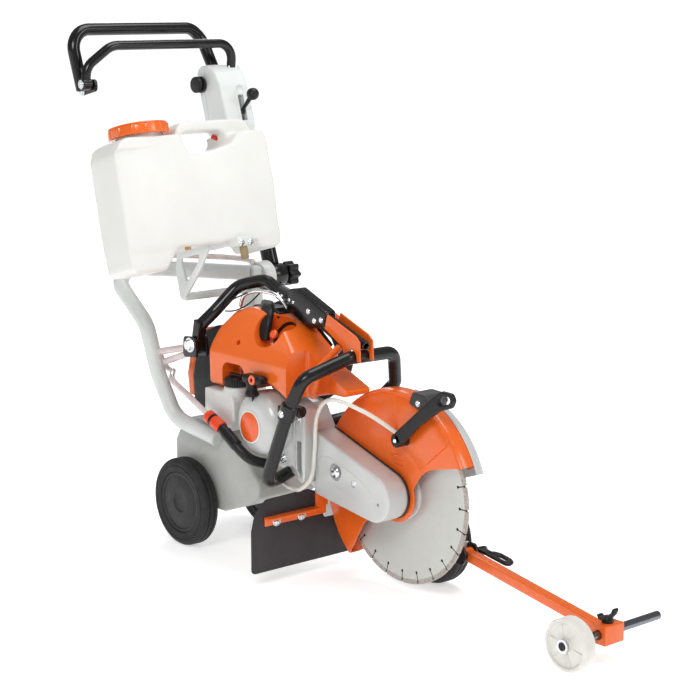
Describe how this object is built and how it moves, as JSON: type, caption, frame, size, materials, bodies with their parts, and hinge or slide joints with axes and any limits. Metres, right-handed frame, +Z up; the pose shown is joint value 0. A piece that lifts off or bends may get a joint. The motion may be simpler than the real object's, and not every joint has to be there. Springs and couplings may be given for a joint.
{
  "type": "walk-behind concrete saw",
  "caption": "Petrol cut-off saw with a guarded diamond blade, clamped on a wheeled push cart with water tank, handlebar, spray flap and folding guide arm.",
  "frame": {"origin": "middle of the whole machine's footprint, on the floor", "axes": "+X forward towards the guide roller, +Y to the machine's left, +Z up"},
  "size_m": [1.2528, 0.482, 1.0495],
  "materials": {
    "pale_paint": "satin light grey paint",
    "pan_paint": "warm grey textured paint",
    "steel": "zinc plated",
    "black_paint": "gloss black powder coat",
    "tyre": "solid rubber",
    "hub_plastic": "moulded",
    "orange_paint": "gloss orange paint",
    "orange_plastic": "gloss moulded",
    "red_plastic": "moulded",
    "roller_nylon": "moulded nylon",
    "black_plastic": "moulded",
    "grey_plastic": "moulded",
    "tank_plastic": "milky blow moulded",
    "fuel_plastic": "milky moulded",
    "grip_rubber": "smooth grip",
    "cast_alloy": "painted casting",
    "white_cover": "satin white paint",
    "blade_steel": "ground steel with sintered segments",
    "filter_felt": "pleated filter",
    "clear_hose": "translucent hose",
    "white_hose": "smooth hose",
    "black_rubber": "matt sheet"
  },
  "bodies": {
    "root": {"pan": "pan_paint", "cart_frame": "pale_paint", "hub_post": "pale_paint", "rear_axle": "steel", "tank_bracket": "pale_paint", "hinge_bracket": "black_paint", "engine_cover": "orange_plastic", "rear_handle": "black_plastic", "fuel_tank": "fuel_plastic", "starter_housing": "white_cover", "crankcase": "cast_alloy", "cylinder": "cast_alloy", "air_filter": "filter_felt", "front_handle": "grip_rubber", "av_springs": "grip_rubber", "bearer_arm": "cast_alloy", "belt_cover": "white_cover", "drive_belt": "black_rubber", "water_hose": "clear_hose", "hose_coupling": "orange_plastic", "guard_hose": "white_hose", "throttle_cable": "black_plastic", "spray_flap": "black_rubber", "flap_bracket": "orange_paint"},
    "rear_wheel_right": {"rear_tyre_right": "tyre", "rear_hub_right": "hub_plastic"},
    "rear_wheel_left": {"rear_tyre_left": "tyre", "rear_hub_left": "hub_plastic"},
    "carrier": {"front_carrier": "pale_paint", "front_axle": "steel"},
    "front_wheel": {"front_tyre": "tyre", "front_hub": "hub_plastic"},
    "guide": {"guide_arm": "orange_paint"},
    "rod": {"guide_rod": "steel"},
    "roller": {"guide_roller": "roller_nylon"},
    "wing_bolt": {"wing_bolt": "black_plastic"},
    "pedal": {"pedal": "black_paint"},
    "column": {"column_tube": "black_paint", "console": "grey_plastic", "handlebar": "black_paint"},
    "star_knob": {"star_knob": "black_plastic"},
    "bail": {"bail": "black_paint"},
    "side_knob": {"side_knob": "black_plastic"},
    "throttle_lever": {"throttle_lever": "black_plastic"},
    "tank": {"water_tank": "tank_plastic"},
    "tank_cap": {"tank_cap": "orange_plastic"},
    "clamp_arm": {"swing_arm": "black_paint", "clamp_channel": "orange_paint"},
    "clamp_lever": {"clamp_lever": "red_plastic"},
    "trigger": {"throttle_trigger": "black_plastic"},
    "lock": {"throttle_lock": "red_plastic"},
    "fuel_cap": {"fuel_cap": "black_plastic"},
    "starter_grip": {"starter_grip": "black_plastic"},
    "crank": {"crankshaft": "steel"},
    "blade_set": {"blade": "blade_steel", "blade_flanges": "steel", "spindle": "steel"},
    "guard_set": {"guard": "orange_paint", "guard_panel": "pale_paint", "guard_lever": "black_plastic"}
  },
  "joints": [
    {"name": "rear_wheel_right_spin", "type": "hinge", "parent": "root", "child": "rear_wheel_right", "pos_m": [-0.424, -0.042, 0.09], "axis": [0, 1, 0], "continuous": true},
    {"name": "rear_wheel_left_spin", "type": "hinge", "parent": "root", "child": "rear_wheel_left", "pos_m": [-0.424, 0.172, 0.09], "axis": [0, 1, 0], "continuous": true},
    {"name": "depth_tilt", "type": "hinge", "parent": "root", "child": "carrier", "pos_m": [-0.424, 0.145, 0.09], "axis": [0, 1, 0], "range_deg": [-16, 6]},
    {"name": "front_wheel_spin", "type": "hinge", "parent": "carrier", "child": "front_wheel", "pos_m": [0.086, 0.172, 0.09], "axis": [0, 1, 0], "continuous": true},
    {"name": "guide_fold", "type": "hinge", "parent": "carrier", "child": "guide", "pos_m": [0.198, 0.152, 0.084], "axis": [0.1132, 0.9936, 0], "range_deg": [-95, 0]},
    {"name": "pedal_flip", "type": "hinge", "parent": "carrier", "child": "pedal", "pos_m": [0.198, 0.152, 0.084], "axis": [0.1132, 0.9936, 0], "range_deg": [-70, 0]},
    {"name": "rod_slide", "type": "slide", "parent": "guide", "child": "rod", "axis": [0, 1, 0], "range_m": [-0.1, 0.045]},
    {"name": "roller_spin", "type": "hinge", "parent": "rod", "child": "roller", "pos_m": [0.581, 0.017, 0.046], "axis": [0, 1, 0], "continuous": true},
    {"name": "wing_bolt_turn", "type": "hinge", "parent": "guide", "child": "wing_bolt", "pos_m": [0.581, 0.109, 0.06], "axis": [0, 0, 1], "range_deg": [-90, 180]},
    {"name": "column_tilt", "type": "hinge", "parent": "root", "child": "column", "pos_m": [-0.404, 0.176, 0.536], "axis": [0, 1, 0], "range_deg": [-20, 0]},
    {"name": "star_knob_turn", "type": "hinge", "parent": "root", "child": "star_knob", "pos_m": [-0.404, 0.216, 0.536], "axis": [0, 1, 0], "range_deg": [-90, 270]},
    {"name": "bail_squeeze", "type": "hinge", "parent": "column", "child": "bail", "pos_m": [-0.548, 0.011, 0.932], "axis": [0, 1, 0], "range_deg": [-20, 0], "stiffness_Nm_per_rad": 6},
    {"name": "side_knob_turn", "type": "hinge", "parent": "column", "child": "side_knob", "pos_m": [-0.562, 0.101, 0.922], "axis": [0, 1, 0], "range_deg": [-150, 150]},
    {"name": "throttle_lever_tilt", "type": "hinge", "parent": "column", "child": "throttle_lever", "pos_m": [-0.495, 0.165, 0.868], "axis": [0, 1, 0], "range_deg": [-18, 14]},
    {"name": "tank_lift", "type": "slide", "parent": "root", "child": "tank", "axis": [-0.2538, 0, 0.9673], "range_m": [0, 0.08]},
    {"name": "tank_cap_turn", "type": "hinge", "parent": "tank", "child": "tank_cap", "pos_m": [-0.41619, -0.145, 0.84592], "axis": [-0.2538, 0, 0.9673], "range_deg": [0, 360]},
    {"name": "clamp_open", "type": "hinge", "parent": "root", "child": "clamp_arm", "pos_m": [-0.375, -0.045, 0.423], "axis": [0, 1, 0], "range_deg": [-24, 0]},
    {"name": "clamp_lever_flip", "type": "hinge", "parent": "clamp_arm", "child": "clamp_lever", "pos_m": [-0.036, 0.072, 0.48], "axis": [0, 1, 0], "range_deg": [-70, 0]},
    {"name": "trigger_pull", "type": "hinge", "parent": "root", "child": "trigger", "pos_m": [-0.184, 0.097, 0.474], "axis": [0, 1, 0], "range_deg": [-9, 0], "stiffness_Nm_per_rad": 0.4},
    {"name": "lock_press", "type": "hinge", "parent": "root", "child": "lock", "pos_m": [-0.148, 0.097, 0.502], "axis": [0, 1, 0], "range_deg": [0, 7], "stiffness_Nm_per_rad": 0.3},
    {"name": "fuel_cap_turn", "type": "hinge", "parent": "root", "child": "fuel_cap", "pos_m": [-0.258, -0.035, 0.366], "axis": [0, 0, 1], "range_deg": [0, 270]},
    {"name": "starter_pull", "type": "slide", "parent": "root", "child": "starter_grip", "axis": [0, 0, 1], "range_m": [0, 0.04], "stiffness_N_per_m": 150},
    {"name": "blade_spin", "type": "hinge", "parent": "root", "child": "blade_set", "pos_m": [0.087, 0.091, 0.191], "axis": [0, 1, 0], "continuous": true},
    {"name": "crank_spin", "type": "hinge", "parent": "root", "child": "crank", "pos_m": [-0.169, 0.011, 0.276], "axis": [0, 1, 0], "continuous": true},
    {"name": "guard_turn", "type": "hinge", "parent": "root", "child": "guard_set", "pos_m": [0.087, 0.091, 0.191], "axis": [0, 1, 0], "range_deg": [-20, 12], "deforming": ["guard_hose"]}
  ],
  "couplings": [
    {"joint": "crank_spin", "follows": "blade_spin", "ratio": 1.5}
  ]
}
